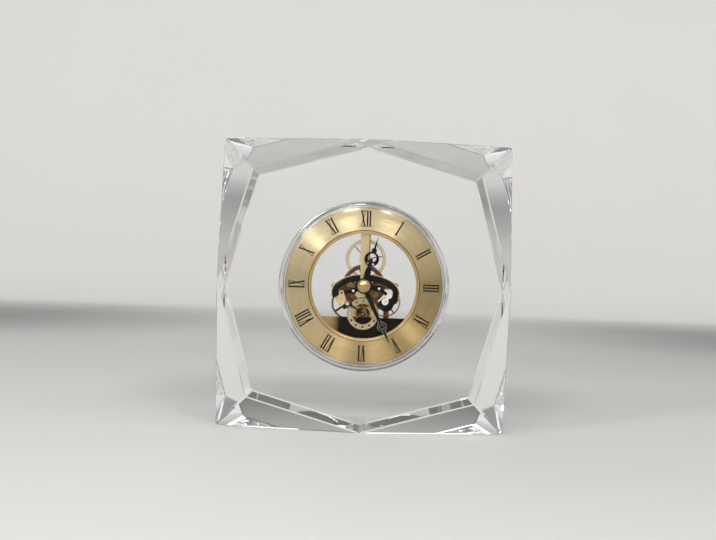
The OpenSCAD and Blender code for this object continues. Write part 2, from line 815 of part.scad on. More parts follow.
module cannon_pinion() {
    color("goldenrod") {
        slab(cannon_y, pinion_t) gear([0, 0], cannon_teeth, motion_module, cannon_phase, leaf_foot_share, centre_r);
        rod_ring(minute_hand_y + hand_t, cannon_y - minute_hand_y - hand_t, cannon_pipe_r, centre_r);
    }
}

module minute_hand() {
    ring_at = minute_hand_l * 0.697;
    color("black") slab(minute_hand_y, hand_t) rotate(-minute_angle) difference() {
        union() {
            circle(2.1, $fn = 64);
            polygon([[-1.15, 0], [1.15, 0], [0.6, ring_at - hand_ring_r + 0.3], [-0.6, ring_at - hand_ring_r + 0.3]]);
            translate([0, ring_at]) circle(hand_ring_r, $fn = 64);
            polygon([[0.62, ring_at + hand_ring_r - 0.2], [0, minute_hand_l], [-0.62, ring_at + hand_ring_r - 0.2]]);
        }
        circle(centre_r, $fn = 48);
        translate([0, ring_at]) circle(hand_ring_r * 0.48, $fn = 48);
    }
}

module centre_cap() {
    color("gold") difference() {
        turned([0, 0], minute_hand_y) polygon(concat([[0, 0]], dome_points(cap_d / 2, cap_h)));
        rod([0, 0], minute_hand_y - 0.3, 0.4, centre_r + running_gap);
    }
}

module minute_wheel() {
    color("wheat") slab(minute_wheel_y, wheel_t)
        spoked_gear(motion_axis, minute_teeth, motion_module, minute_phase, 1.15, 3, 0.5, 132, 1.7, arbor_r);
}

module minute_wheel_arbor() {
    front_y = bridge_y + bridge_t + 0.1;
    wheel_back = minute_wheel_y + wheel_t;
    color("silver") {
        rod(motion_axis, bridge_y + 0.1, wheel_back - bridge_y, pivot_r);
        rod(motion_axis, front_y, wheel_back + 0.1 - front_y, arbor_r);
        rod(motion_axis, wheel_back, case_back_y + 0.4 + knob_l - 1 - wheel_back, stem_r);
        slab(minute_pinion_y, pinion_t)
            gear(motion_axis, minute_leaves, hour_module, minute_phase, leaf_foot_share, arbor_r / 2);
    }
}

module setting_knob() {
    flutes = 16;
    flute_r = 0.22;
    color("dimgray") difference() {
        rod(motion_axis, case_back_y + 0.4, knob_l, knob_d / 2);
        rod(motion_axis, case_back_y + 0.3, knob_l - 0.9, stem_r);
        for (k = [0:flutes - 1])
            rod(motion_axis + polar(knob_d / 2 + flute_r / 2, 360 * k / flutes), case_back_y + 1, knob_l, flute_r);
    }
}

module hour_wheel() {
    color([0.35, 0.2, 0.1]) {
        slab(hour_wheel_y, hour_wheel_t)
            spoked_gear([0, 0], hour_teeth, hour_module, hour_phase, 1.5, 4, 0.7, 15, 2.4, cannon_pipe_r + running_gap);
        rod_ring(hour_hand_y, hour_wheel_y - hour_hand_y, pipe_r, cannon_pipe_r + running_gap);
    }
}

module hour_hand() {
    moon_at = hour_hand_l * 0.535;
    bead_at = hour_hand_l * 0.704;
    bead_r = 1.1;
    neck = 0.3;
    leaf_at = moon_at / 2;
    leaf = 1.3;
    leaf_foot = 0.9;
    color("black") slab(hour_hand_y, hand_t) rotate(-hour_angle) difference() {
        union() {
            circle(hub_r, $fn = 64);
            polygon([
                [-leaf_foot, 0], [leaf_foot, 0], [leaf, leaf_at], [neck * 2, moon_at - moon_r + 0.4],
                [-neck * 2, moon_at - moon_r + 0.4], [-leaf, leaf_at]
            ]);
            translate([0, moon_at]) circle(moon_r, $fn = 64);
            translate([0, bead_at]) circle(bead_r, $fn = 48);
            translate([-neck, moon_at + moon_r - 0.3]) square([2 * neck, bead_at - moon_at - moon_r + 0.4]);
            polygon([[0.45, bead_at + bead_r - 0.25], [0, hour_hand_l], [-0.45, bead_at + bead_r - 0.25]]);
        }
        circle(pipe_r, $fn = 64);
        difference() {
            translate([0, moon_at + moon_r * 0.18]) circle(moon_r * 0.57, $fn = 48);
            translate([0, moon_at - moon_r * 0.2]) circle(moon_r * 0.24, $fn = 32);
            translate([-neck, moon_at - moon_r * 0.6]) square([2 * neck, moon_r * 0.4]);
        }
        for (s = [-1, 1]) translate([s * moon_r * 0.36, moon_at - moon_r * 0.65]) circle(moon_r * 0.14, $fn = 24);
    }
}

// Running train

// An arbor between the plates: pivots at both ends and a pinion along it
module arbor(at, front_y, front_t, pinion_y, leaves, m, phase) {
    shoulder = 0.1;
    from_y = front_y + front_t + shoulder;
    color("silver") {
        rod(at, front_y + 0.1, back_plate_y + back_plate_t - front_y - 0.2, pivot_r);
        rod(at, from_y, back_plate_y - shoulder - from_y, arbor_r);
        slab(pinion_y, pinion_t) gear(at, leaves, m, phase, leaf_foot_share, arbor_r / 2);
    }
}

module third_arbor() {
    arbor(third_axis, bridge_y, bridge_t, centre_pinion_y, third_leaves, centre_module, third_phase);
}

module third_wheel() {
    color([0.3, 0.17, 0.09]) slab(third_wheel_y, wheel_t)
        spoked_gear(third_axis, third_teeth, third_module, third_phase, 0.6, 3, 0.95, 215, 1.4, arbor_r);
}

module right_arbor() {
    arbor(right_axis, bridge_y, bridge_t, centre_pinion_y, right_leaves, centre_module, right_phase);
}

module right_wheel() {
    color([0.45, 0.27, 0.15]) slab(third_wheel_y, wheel_t)
        spoked_gear(right_axis, right_teeth, right_module, right_phase, 0.35, 4, 0.6, 40, 1.3, arbor_r);
}

module seconds_arbor() {
    front_y = arm_y + 0.1;
    shaft_y = arm_y + arm_t + 0.1;
    shaft_end = back_plate_y + back_plate_t + capsule_l - 1;
    color("silver") {
        rod(seconds_axis, front_y, shaft_end - front_y, pivot_r);
        rod(seconds_axis, shaft_y, shaft_end - shaft_y, arbor_r);
        slab(seconds_pinion_y, pinion_t)
            gear(seconds_axis, seconds_leaves, third_module, seconds_phase, leaf_foot_share, arbor_r / 2);
    }
}

module seconds_ring() {
    marks = 12;
    spoke_turn = 215;
    spoke_w = 0.5;
    inner = seconds_ring_r - seconds_ring_w;
    color("wheat") slab(seconds_ring_y, seconds_ring_t) difference() {
        union() {
            translate(seconds_axis) disc_ring(seconds_ring_r, inner);
            translate(seconds_axis) circle(1, $fn = 48);
            for (k = [0:2]) translate(seconds_axis) rotate(spoke_turn + 120 * k)
                translate([0, -spoke_w / 2]) square([inner + 0.4, spoke_w]);
        }
        translate(seconds_axis) circle(arbor_r, $fn = 48);
        for (k = [0:marks - 1])
            translate(seconds_axis + polar(seconds_ring_r - seconds_ring_w / 2, 360 * k / marks)) circle(0.38, $fn = 24);
    }
}

module seconds_gear() {
    color("darkgoldenrod") slab(minute_wheel_y, wheel_t)
        spoked_gear(seconds_axis, seconds_teeth, seconds_gear_module, seconds_phase, 1.1, 3, 0.6, 90, 1.1, arbor_r);
}

// Battery lid: a round plug in the housing's mouth, proud of the window, with a coin slot

module battery_lid() {
    head_y = window_y + window_t;
    slot_w = 1.6;
    color("dimgray") difference() {
        rod(cell_axis, head_y - lid_plug_t, lid_plug_t + lid_head_t, lid_plug_r);
        slab(head_y + lid_head_t / 2, lid_head_t) translate(cell_axis)
            square([2 * lid_plug_r - 2 * slot_w, slot_w], center = true);
    }
}

crystal_block();
front_lens();
case_shell();
grip_band();
rear_window();
window_retainer();
chapter_ring();
dial_lip();
numerals();
hanging_bridge();
bridge_screws();
front_plate();
back_plate();
plate_pillars();
plate_screws();
pillar_screws();
left_cock();
right_cock();
seconds_arm();
pivot_jewels();
battery_housing();
housing_screws();
button_cell();
contact_negative();
contact_positive();
circuit_board();
quartz_can();
driver_chip();
motor_coil();
motor_stator();
motor_capsule();
centre_arbor();
centre_wheel();
cannon_pinion();
minute_hand();
centre_cap();
minute_wheel();
minute_wheel_arbor();
setting_knob();
hour_wheel();
hour_hand();
third_wheel();
third_arbor();
seconds_ring();
seconds_gear();
seconds_arbor();
right_wheel();
right_arbor();
battery_lid();
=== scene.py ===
"""Crystal desk clock: its surfaces, finishes, light and camera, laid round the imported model.

The frame is the part's own: X right, Y from the dial to the back, Z up, the origin in the middle of
the base. Shapes are worked out in millimetres and turned into metres by MM. The studio is laid out
in metres.
"""

import json
import math

import bmesh
import bpy
import numpy as np
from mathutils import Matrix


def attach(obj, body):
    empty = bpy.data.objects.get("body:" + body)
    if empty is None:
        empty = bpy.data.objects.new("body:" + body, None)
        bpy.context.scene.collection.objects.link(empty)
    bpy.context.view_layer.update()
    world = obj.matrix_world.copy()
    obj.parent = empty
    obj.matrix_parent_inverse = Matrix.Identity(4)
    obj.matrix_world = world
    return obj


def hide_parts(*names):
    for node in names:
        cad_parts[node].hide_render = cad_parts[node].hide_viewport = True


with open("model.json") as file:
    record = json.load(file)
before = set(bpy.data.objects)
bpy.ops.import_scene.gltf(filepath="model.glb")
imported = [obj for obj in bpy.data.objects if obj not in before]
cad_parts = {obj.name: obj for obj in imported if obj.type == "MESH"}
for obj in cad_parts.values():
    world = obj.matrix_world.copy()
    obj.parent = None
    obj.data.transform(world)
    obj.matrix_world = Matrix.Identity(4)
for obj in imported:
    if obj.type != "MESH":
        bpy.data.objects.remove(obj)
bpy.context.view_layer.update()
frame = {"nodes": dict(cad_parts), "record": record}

MM = 0.001
FULL_TURN = 2 * math.pi
HANDS_Z = 60.0
HANDS_AXIS = (0.0, 0.0, HANDS_Z * MM)
FACE_Y = -25.0
BLOCK = 120.0
BLOCK_DEPTH = 50.0
FACET_INSET = 13.3
FACET_DROP = 14.0
BORE_R = 33.0


# Shapes: each one is a grid of points, worked out as arrays


def grid_piece(name, grid, sharp_angle=30.0, close_rows=True, close_columns=True):
    """A piece whose skin is a grid of points in millimetres, with a face between each four
    neighbours. The grid closes on itself along its rows and columns where asked, and edges steeper
    than sharp_angle stay crisp."""
    rows, columns = grid.shape[:2]
    index = np.arange(rows * columns).reshape(rows, columns)
    if close_rows:
        index = np.vstack([index, index[:1]])
    if close_columns:
        index = np.hstack([index, index[:, :1]])
    corners = [index[:-1, :-1], index[1:, :-1], index[1:, 1:], index[:-1, 1:]]
    faces = np.stack(corners, -1).reshape(-1, 4)
    mesh = bpy.data.meshes.new(name)
    mesh.from_pydata((grid.reshape(-1, 3) * MM).tolist(), [], faces.tolist())
    work = bmesh.new()
    work.from_mesh(mesh)
    bmesh.ops.remove_doubles(work, verts=work.verts, dist=2e-6)
    bmesh.ops.dissolve_degenerate(work, edges=work.edges, dist=1e-7)
    bmesh.ops.recalc_face_normals(work, faces=work.faces)
    work.to_mesh(mesh)
    work.free()
    mesh.polygons.foreach_set("use_smooth", np.ones(len(mesh.polygons), dtype=bool))
    mesh.set_sharp_from_angle(angle=math.radians(sharp_angle))
    piece = bpy.data.objects.new(name, mesh)
    bpy.context.scene.collection.objects.link(piece)
    return piece


def round_angles(steps):
    """Even angles all the way round, without the last one, which would repeat the first."""
    return np.linspace(0, FULL_TURN, steps, endpoint=False)


def eased(outline, cut):
    """A closed outline with each corner cut back by the same distance along both of its sides. A
    cut takes at most 0.4 of the shorter side, and corners on the axis stay."""
    outline = np.asarray(outline, float)
    before = np.roll(outline, 1, 0) - outline
    after = np.roll(outline, -1, 0) - outline
    length_before = np.linalg.norm(before, axis=1, keepdims=True)
    length_after = np.linalg.norm(after, axis=1, keepdims=True)
    reach = np.minimum(cut, 0.4 * np.minimum(length_before, length_after))
    reach = np.where(outline[:, :1] < 1e-9, 0.0, reach)
    first = outline + before / length_before * reach
    second = outline + after / length_after * reach
    return np.stack([first, second], 1).reshape(-1, 2)


def turned(name, outline, steps=256):
    """A turned piece: a closed outline of (radius, depth) carried round the hands' axis. A point is
    at radius * (cos a, sin a) in the dial's plane, at its depth, for angles a all the way round."""
    outline = np.asarray(outline, float)
    angle = round_angles(steps)[:, None]
    x = outline[:, 0] * np.cos(angle)
    y = np.broadcast_to(outline[:, 1], x.shape)
    z = HANDS_Z + outline[:, 0] * np.sin(angle)
    return grid_piece(name, np.stack([x, y, z], -1))


def crystal(name, steps=24, edge=0.34, corner=0.986):
    """The faceted block as rings of points round the bore's axis. Along a ray at angle a from the
    middle of a side, with t = tan a, the block's side is at half / cos a and the face's octagon at
    half * k / (k cos a + inset sin a), where k = half - inset. The side's front edge lies
    FACET_DROP * t behind the face, and the facet is straight between the two. Each ring next to an
    edge stands edge away from it, so that every edge is a narrow polished flat. So is each upright
    corner, as t ends at corner, a little short of 1."""
    half = BLOCK / 2
    inner = half - FACET_INSET
    half_side = np.append(np.linspace(0, 1, steps, endpoint=False), corner)
    whole_side = np.concatenate([-half_side[:0:-1], half_side])
    a = np.concatenate([np.arctan(whole_side) + side * math.pi / 2 for side in range(4)])
    t = np.tile(np.abs(whole_side), 4)
    cos, sin = np.cos(np.arctan(t)), np.sin(np.arctan(t))
    side = half / cos
    octagon = half * inner / (inner * cos + FACET_INSET * sin)
    width = side - octagon
    drop = FACET_DROP * t
    near = np.minimum(edge, 0.3 * width)
    slope = drop / np.maximum(width, 1e-6)
    flat = np.zeros_like(t)
    bore = np.full_like(t, BORE_R)
    front = [
        (bore, flat + edge), (bore + edge, flat), (octagon - edge, flat),
        (octagon + near, near * slope), (side - near, drop - near * slope), (side, drop + edge),
    ]
    rings = np.array(front + [(radius, BLOCK_DEPTH - depth) for radius, depth in front[::-1]])
    radius, depth = rings[:, 0], FACE_Y + rings[:, 1]
    grid = np.stack([radius * np.cos(a), depth, HANDS_Z + radius * np.sin(a)], -1)
    return grid_piece(name, grid, sharp_angle=4.0)


def wound_coil(name, middle, length, radius, wire, turns, around=10, per_turn=24):
    """A coil of wire wound round an upright core: the wire's middle follows a helix of that radius
    about the core, and its skin is a small circle about that helix. Over an eighth of a turn, each
    end narrows to a point."""
    u = np.linspace(0, 1, turns * per_turn + 1)
    turn = FULL_TURN * turns * u
    outward = np.stack([np.cos(turn), np.sin(turn), 0 * u], -1)
    height = HANDS_Z + middle[2] + length * (u - 0.5)
    core = np.stack([0 * u + middle[0], 0 * u + middle[1], height], -1)
    centre = core + radius * outward
    along = np.gradient(centre, axis=0)
    along /= np.linalg.norm(along, axis=1, keepdims=True)
    across = np.cross(along, outward)
    v = round_angles(around)[None, :, None]
    skin = wire * np.minimum(1, np.minimum(u, 1 - u) * turns * 8)[:, None, None]
    grid = centre[:, None] + skin * (np.cos(v) * outward[:, None] + np.sin(v) * across[:, None])
    return grid_piece(name, grid, sharp_angle=60.0, close_rows=False)


def bobbin(name, middle, outline, steps=64):
    """A turned piece about an upright axis, from a closed outline of (radius, height)."""
    outline = np.asarray(outline, float)
    angle = round_angles(steps)[:, None]
    x = middle[0] + outline[:, 0] * np.cos(angle)
    y = middle[1] + outline[:, 0] * np.sin(angle)
    z = np.broadcast_to(HANDS_Z + middle[2] + outline[:, 1], x.shape)
    return grid_piece(name, np.stack([x, y, z], -1))


def knurled_knob(name, at, front, back, radius, bore=0.62, ridges=16, depth=0.2, ease=0.5):
    """A knob on a front-to-back axis through at. Round the axis, its rim follows
    radius - depth * (1 - |cos(ridges * a / 2)|), and it is eased at both ends. Its back is dished
    by 0.3, and its bore for the stem stops 1 short of it."""
    a = round_angles(ridges * 12)
    rim = radius - depth * (1 - np.abs(np.cos(ridges * a / 2)))
    plain = radius - ease
    outline = [
        (bore, front), (plain, front), (rim, front + ease), (rim, back - ease), (plain, back),
        (plain - 0.35, back), (plain - 0.6, back - 0.25), (0.0, back - 0.3), (0.0, back - 1.0),
        (bore, back - 1.0),
    ]
    r = np.stack([np.broadcast_to(radius_there, a.shape) for radius_there, y_there in outline])
    y = np.stack([np.full_like(a, y_there) for radius_there, y_there in outline])
    grid = np.stack([at[0] + r * np.cos(a), y, HANDS_Z + at[1] + r * np.sin(a)], -1)
    return grid_piece(name, grid, sharp_angle=35.0)


# Short ways to build a tree of shader nodes


def give(tree, slot, value):
    """An input takes a fixed value, or a link from another node's output."""
    if isinstance(value, bpy.types.NodeSocket):
        tree.links.new(value, slot)
    else:
        slot.default_value = value


def put(tree, kind, inputs=None, **settings):
    """A node with its settings and its inputs, which are fixed values or other nodes' outputs."""
    node = tree.nodes.new(kind)
    for key, value in settings.items():
        setattr(node, key, value)
    for key, value in (inputs or {}).items():
        give(tree, node.inputs[key], value)
    return node


def calc(tree, operation, *values):
    """The result of a Math node, each of whose inputs is a number or an output."""
    return put(tree, "ShaderNodeMath", dict(enumerate(values)), operation=operation).outputs[0]


def calc_vector(tree, operation, *values):
    """The result of a Vector Math node: a number for a length or a dot product, or else a vector."""
    node = put(tree, "ShaderNodeVectorMath", dict(enumerate(values)), operation=operation)
    return node.outputs["Value" if operation in ("LENGTH", "DOT_PRODUCT") else "Vector"]


def spread(tree, source, out, over):
    """A number that goes over the pair out while its source goes over the pair over."""
    (low, high), (start, end) = out, over
    levels = {"Value": source, "From Min": start, "From Max": end, "To Min": low, "To Max": high}
    return put(tree, "ShaderNodeMapRange", levels).outputs["Result"]


def place_in(tree):
    """The Object coordinates: the part's own, in metres, as every piece stands at the origin."""
    return put(tree, "ShaderNodeTexCoord").outputs["Object"]


def parts_of(tree, vector):
    """A vector's X, Y and Z."""
    return put(tree, "ShaderNodeSeparateXYZ", {0: vector}).outputs


def dimmed(colour, factor):
    """A colour with its parts times factor, at most 1."""
    return tuple(min(1.0, factor * part) for part in colour)


# Shader groups shared by the finishes


def effect(name, inputs, outputs):
    """An empty shader group: its inputs with their usual values, and its outputs, which are all
    numbers. The result is the group, what it is given, and where its results go."""
    group = bpy.data.node_groups.new(name, "ShaderNodeTree")
    for label, value in inputs.items():
        kind = "NodeSocketVector" if isinstance(value, tuple) else "NodeSocketFloat"
        group.interface.new_socket(label, in_out="INPUT", socket_type=kind).default_value = value
    for label in outputs:
        group.interface.new_socket(label, in_out="OUTPUT", socket_type="NodeSocketFloat")
    return group, group.nodes.new("NodeGroupInput").outputs, group.nodes.new("NodeGroupOutput").inputs


def make_turned_lines():
    """Fine rings about a front-to-back axis: noise of the distance from that axis."""
    group, given, result = effect("turned lines", {"Axis": HANDS_AXIS, "Lines per mm": 6.0}, ["Shade"])
    away = parts_of(group, calc_vector(group, "SUBTRACT", place_in(group), given["Axis"]))
    square = calc(group, "ADD", calc(group, "MULTIPLY", away["X"], away["X"]),
                  calc(group, "MULTIPLY", away["Z"], away["Z"]))
    radius_mm = calc(group, "MULTIPLY", calc(group, "SQRT", square), 1 / MM)
    lines = calc(group, "MULTIPLY", radius_mm, given["Lines per mm"])
    noise = put(group, "ShaderNodeTexNoise", {"W": lines, "Scale": 1.0, "Detail": 2.0},
                noise_dimensions="1D")
    give(group, result["Shade"], noise.outputs["Fac"])
    return group


def make_ray_lines():
    """Fine and broad rays from the hands' axis: noise of the angle round it."""
    group, given, result = effect("ray lines", {"Fine": 140.0, "Broad": 5.0}, ["Fine", "Broad"])
    away = calc_vector(group, "SUBTRACT", place_in(group), HANDS_AXIS)
    unit = calc_vector(group, "NORMALIZE", calc_vector(group, "MULTIPLY", away, (1, 0, 1)))
    for label, detail in (("Fine", 1.0), ("Broad", 0.0)):
        noise = put(group, "ShaderNodeTexNoise",
                    {"Vector": unit, "Scale": given[label], "Detail": detail})
        give(group, result[label], noise.outputs["Fac"])
    return group


def make_straight_grain():
    """Straight brushed grain: noise stretched along one direction, and a slow drift of tone."""
    group, given, result = effect(
        "straight grain", {"Stretch": (4000, 4000, 150), "Drift": 160.0}, ["Grain", "Tone"])
    place = place_in(group)
    pulled = calc_vector(group, "MULTIPLY", place, given["Stretch"])
    grain = put(group, "ShaderNodeTexNoise", {"Vector": pulled, "Scale": 1.0, "Detail": 2.0})
    tone = put(group, "ShaderNodeTexNoise", {"Vector": place, "Scale": given["Drift"], "Detail": 3.0})
    give(group, result["Grain"], grain.outputs["Fac"])
    give(group, result["Tone"], tone.outputs["Fac"])
    return group


def make_cut_edges():
    """1 on the walls and chamfers of a flat piece, where its own normal leaves Y, and 0 elsewhere."""
    group, given, result = effect("cut edges", {"Lean": 0.85}, ["Edge"])
    normal = put(group, "ShaderNodeTexCoord").outputs["Normal"]
    facing = calc(group, "ABSOLUTE", parts_of(group, normal)["Y"])
    give(group, result["Edge"], calc(group, "LESS_THAN", facing, given["Lean"]))
    return group


def make_smudges():
    """Faint handling marks: a slow noise lifted only where it is high."""
    group, given, result = effect("smudges", {"Size": 40.0, "From": 0.55}, ["Mark"])
    noise = put(group, "ShaderNodeTexNoise",
                {"Vector": place_in(group), "Scale": given["Size"], "Detail": 5.0, "Roughness": 0.6})
    give(group, result["Mark"], spread(group, noise.outputs["Fac"], (0.0, 1.0), (given["From"], 0.8)))
    return group


turned_lines = make_turned_lines()
ray_lines = make_ray_lines()
straight_grain = make_straight_grain()
cut_edges = make_cut_edges()
smudges = make_smudges()


# Finishes: a function for each kind of material


class Finish:
    """A material with one Principled shader, and short ways to feed it. An input's name has _ for
    each space."""

    def __init__(self, name, **inputs):
        self.material = bpy.data.materials.new(name)
        self.material.use_nodes = True
        self.tree = self.material.node_tree
        self.shader = self.tree.nodes["Principled BSDF"]
        self.feed(**inputs)

    def feed(self, **inputs):
        """The shader's inputs take fixed values or links."""
        for key, value in inputs.items():
            give(self.tree, self.shader.inputs[key.replace("_", " ")], value)

    def group(self, tree, **inputs):
        """The outputs of a shared group."""
        inputs = {key.replace("_", " "): value for key, value in inputs.items()}
        return put(self.tree, "ShaderNodeGroup", inputs, node_tree=tree).outputs

    def place(self):
        """Where a point of the surface is, in the part's frame."""
        return place_in(self.tree)

    def away(self, centre_mm):
        """The way from a centre in millimetres to the point."""
        return self.vector("SUBTRACT", self.place(), tuple(part * MM for part in centre_mm))

    def number(self, operation, *values):
        """A Math node's result."""
        return calc(self.tree, operation, *values)

    def vector(self, operation, *values):
        """A Vector Math node's result."""
        return calc_vector(self.tree, operation, *values)

    def span(self, source, out, over=(0.3, 0.7)):
        """A value spread over one pair as its source goes over another."""
        return spread(self.tree, source, out, over)

    def band(self, source, rise, fall, top=1.0):
        """A value that rises from 0 to top over one pair of its source and falls over another."""
        up, down = self.span(source, (0.0, top), rise), self.span(source, (1.0, 0.0), fall)
        return self.number("MULTIPLY", up, down)

    def blend(self, share, first, second):
        """Two colours, each fixed or another node's output, mixed by a share."""
        first, second = (colour if isinstance(colour, bpy.types.NodeSocket) else (*colour, 1.0)
                         for colour in (first, second))
        inputs = {0: share, 6: first, 7: second}
        return put(self.tree, "ShaderNodeMix", inputs, data_type="RGBA").outputs[2]

    def bump(self, source, strength, distance_mm):
        """Fine relief from a value."""
        height = {"Height": source, "Strength": strength, "Distance": distance_mm * MM}
        self.feed(Normal=put(self.tree, "ShaderNodeBump", height).outputs["Normal"])


def clear_finish(name, ior, tint, see_light):
    """Clear glass or acrylic with faint handling marks. The share see_light of the lamps' light
    passes straight through to what is inside, and so does all light that has already met four
    surfaces between the facets."""
    finish = Finish(name, Transmission_Weight=1.0, IOR=ior, Roughness=0.0)
    mark = finish.group(smudges)["Mark"]
    path = put(finish.tree, "ShaderNodeLightPath").outputs
    solid = finish.number("SUBTRACT", 1.0, finish.number("MULTIPLY", path["Is Shadow Ray"], see_light))
    early = finish.number("LESS_THAN", path["Ray Depth"], 4.0)
    finish.feed(Base_Color=finish.blend(mark, tint, dimmed(tint, 0.985)),
                Roughness=finish.span(mark, (0.0, 0.02), (0.0, 1.0)),
                Alpha=finish.number("MULTIPLY", solid, early))
    return finish.material


def plated(name, colour, rough, edge_colour=None, grain=(4000, 4000, 150), strength=0.12):
    """Flat plated metal: straight grain in its tone and roughness, and cut edges painted brighter as a
    highlight.
    """
    finish = Finish(name, Metallic=1.0, Roughness=rough)
    marks = finish.group(straight_grain, Stretch=grain)
    edge = finish.group(cut_edges)["Edge"]
    tone = finish.blend(marks["Tone"], dimmed(colour, 0.86), colour)
    # Painted highlight: the cut edges take the brighter edge colour.
    finish.feed(Base_Color=finish.blend(edge, tone, edge_colour or dimmed(colour, 1.15)),
                Roughness=finish.span(marks["Grain"], (rough - 0.06, rough + 0.1)))
    finish.bump(marks["Grain"], strength, 0.01)
    return finish.material


def turned_metal(name, colour, rough, lines=6.0):
    """Metal turned about the hands' axis: fine rings, lines to a millimetre, in tone and height."""
    finish = Finish(name, Metallic=1.0, Roughness=rough)
    shade = finish.group(turned_lines, Lines_per_mm=lines)["Shade"]
    finish.feed(Base_Color=finish.blend(shade, dimmed(colour, 0.9), colour),
                Roughness=finish.span(shade, (rough - 0.05, rough + 0.08)))
    finish.bump(shade, 0.1, 0.01)
    return finish.material


def black_lacquer(name, edge_colour, oval=None, painted_glint_spot=None):
    """Gloss black over metal, with painted highlights: along its cut edges, and along the upper part of
    an oval outline where one is given, as its centre and its two radii. With a glint spot, as its
    centre and radius, the edges are bright only there. Both are in millimetres."""
    black, rough = (0.010, 0.008, 0.006), 0.16
    finish = Finish(name, Roughness=rough, Specular_IOR_Level=0.12)
    marks = finish.group(straight_grain, Stretch=(900, 900, 900), Drift=220.0)
    edge = finish.group(cut_edges)["Edge"]
    # The painted highlight on the cut edges fades out beyond the glint spot.
    if painted_glint_spot:
        centre, radius = painted_glint_spot
        from_spot = finish.vector("LENGTH", finish.away(centre))
        near = finish.span(from_spot, (1.0, 0.06), (radius * MM, 1.1 * radius * MM))
        edge = finish.number("MULTIPLY", edge, near)
    # Painted highlight: a bright line along the upper part of the oval outline, where light falls from
    # above.
    if oval:
        centre, across, up = oval
        scaled = finish.vector("MULTIPLY", finish.away(centre), (1 / (across * MM), 0, 1 / (up * MM)))
        share = finish.vector("LENGTH", scaled)
        line = finish.span(share, (0.0, 1.0), (0.958, 0.976))
        inside = finish.number("LESS_THAN", share, 1.004)
        upper = finish.span(parts_of(finish.tree, scaled)["Z"], (0.0, 1.0), (-0.3, -0.1))
        line = finish.number("MULTIPLY", line, finish.number("MULTIPLY", inside, upper))
        edge = finish.number("MAXIMUM", edge, line)
    tone = finish.blend(marks["Tone"], dimmed(black, 0.6), black)
    finish.feed(Base_Color=finish.blend(edge, tone, edge_colour),
                Roughness=finish.span(marks["Grain"], (rough - 0.05, rough + 0.1)),
                Metallic=finish.span(edge, (0.0, 0.35), (0.0, 1.0)))
    return finish.material


def sunray_gold(name):
    """The dial ring's gilt: brushed round the centre, so that light spreads along its radius in
    fans, with fine rays of tone. Painted light and shade: its tone goes from a deep, shaded one at
    the lower right to a pale, lit one at the upper left, towards the key lamp."""
    finish = Finish(name, Metallic=1.0, Roughness=0.3, Anisotropic=1.0, Anisotropic_Rotation=0.25)
    rays = finish.group(ray_lines)
    rings = finish.group(turned_lines, Lines_per_mm=9.0)["Shade"]
    toward_painted_light = finish.vector("DOT_PRODUCT", finish.place(), (-0.6, 0, 0.8))
    # side is painted light and shade: 1 at the lit upper left, 0 at the shaded lower right; deep, mid and
    # pale each go from a shaded to a lit tone by it.
    side = finish.span(toward_painted_light, (0.0, 1.0), (0.018, 0.078))
    deep = finish.blend(side, (0.35, 0.235, 0.085), (0.82, 0.66, 0.37))
    mid = finish.blend(side, (0.43, 0.30, 0.12), (0.91, 0.75, 0.44))
    pale = finish.blend(side, (0.62, 0.48, 0.24), (0.97, 0.88, 0.62))
    broad = finish.blend(finish.span(rays["Broad"], (0.0, 1.0)), deep, mid)
    tangent = put(finish.tree, "ShaderNodeTangent", direction_type="RADIAL", axis="Y").outputs[0]
    finish.feed(Base_Color=finish.blend(finish.span(rays["Fine"], (0.0, 0.35)), broad, pale),
                Roughness=finish.span(rings, (0.24, 0.30)), Tangent=tangent)
    finish.bump(rings, 0.02, 0.01)
    return finish.material


def black_with_painted_reflection(name):
    """The crescent's gloss black, with a painted reflection of warm gilt that fades in at its left end.
    """
    finish = Finish(name, Roughness=0.2, Specular_IOR_Level=0.06)
    across = parts_of(finish.tree, finish.place())["X"]
    # Painted reflection: gilt is its share, 1 at the left end and 0 from x = -9.5 mm, where the surface
    # also turns metal.
    gilt = finish.span(across, (1.0, 0.0), (-16.5 * MM, -9.5 * MM))
    tone = finish.group(straight_grain, Stretch=(700, 700, 700))["Tone"]
    black = finish.blend(tone, (0.007, 0.005, 0.004), (0.014, 0.009, 0.007))
    finish.feed(Base_Color=finish.blend(gilt, black, (0.62, 0.44, 0.20)),
                Metallic=finish.span(gilt, (0.0, 0.9), (0.0, 1.0)),
                Roughness=finish.span(tone, (0.12, 0.22)))
    return finish.material


def moulded(name, colour, rough, coat=0.0, specular=0.5):
    """Moulded plastic or rubber: a fine even skin and slow tone."""
    finish = Finish(name, Roughness=rough, Coat_Weight=coat, Specular_IOR_Level=specular)
    marks = finish.group(straight_grain, Stretch=(1600, 1600, 1600), Drift=90.0)
    finish.feed(Base_Color=finish.blend(marks["Tone"], dimmed(colour, 0.75), colour),
                Roughness=finish.span(marks["Grain"], (rough - 0.06, rough + 0.08)))
    finish.bump(marks["Grain"], 0.15, 0.02)
    return finish.material


def circuit_laminate(name):
    """Brown laminate with copper tracks: a coarse brick pattern gives the tracks their edges."""
    finish = Finish(name, Roughness=0.4)
    flat = put(finish.tree, "ShaderNodeVectorRotate", {"Vector": finish.place(), "Angle": math.pi / 2},
               rotation_type="X_AXIS").outputs[0]
    tracks = put(finish.tree, "ShaderNodeTexBrick", {
        "Vector": flat, "Scale": 260.0, "Mortar Size": 0.03, "Color1": (0.13, 0.065, 0.03, 1),
        "Color2": (0.09, 0.045, 0.022, 1), "Mortar": (0.42, 0.22, 0.09, 1)}).outputs
    finish.feed(Base_Color=tracks["Color"])
    finish.bump(tracks["Fac"], 0.3, 0.03)
    return finish.material


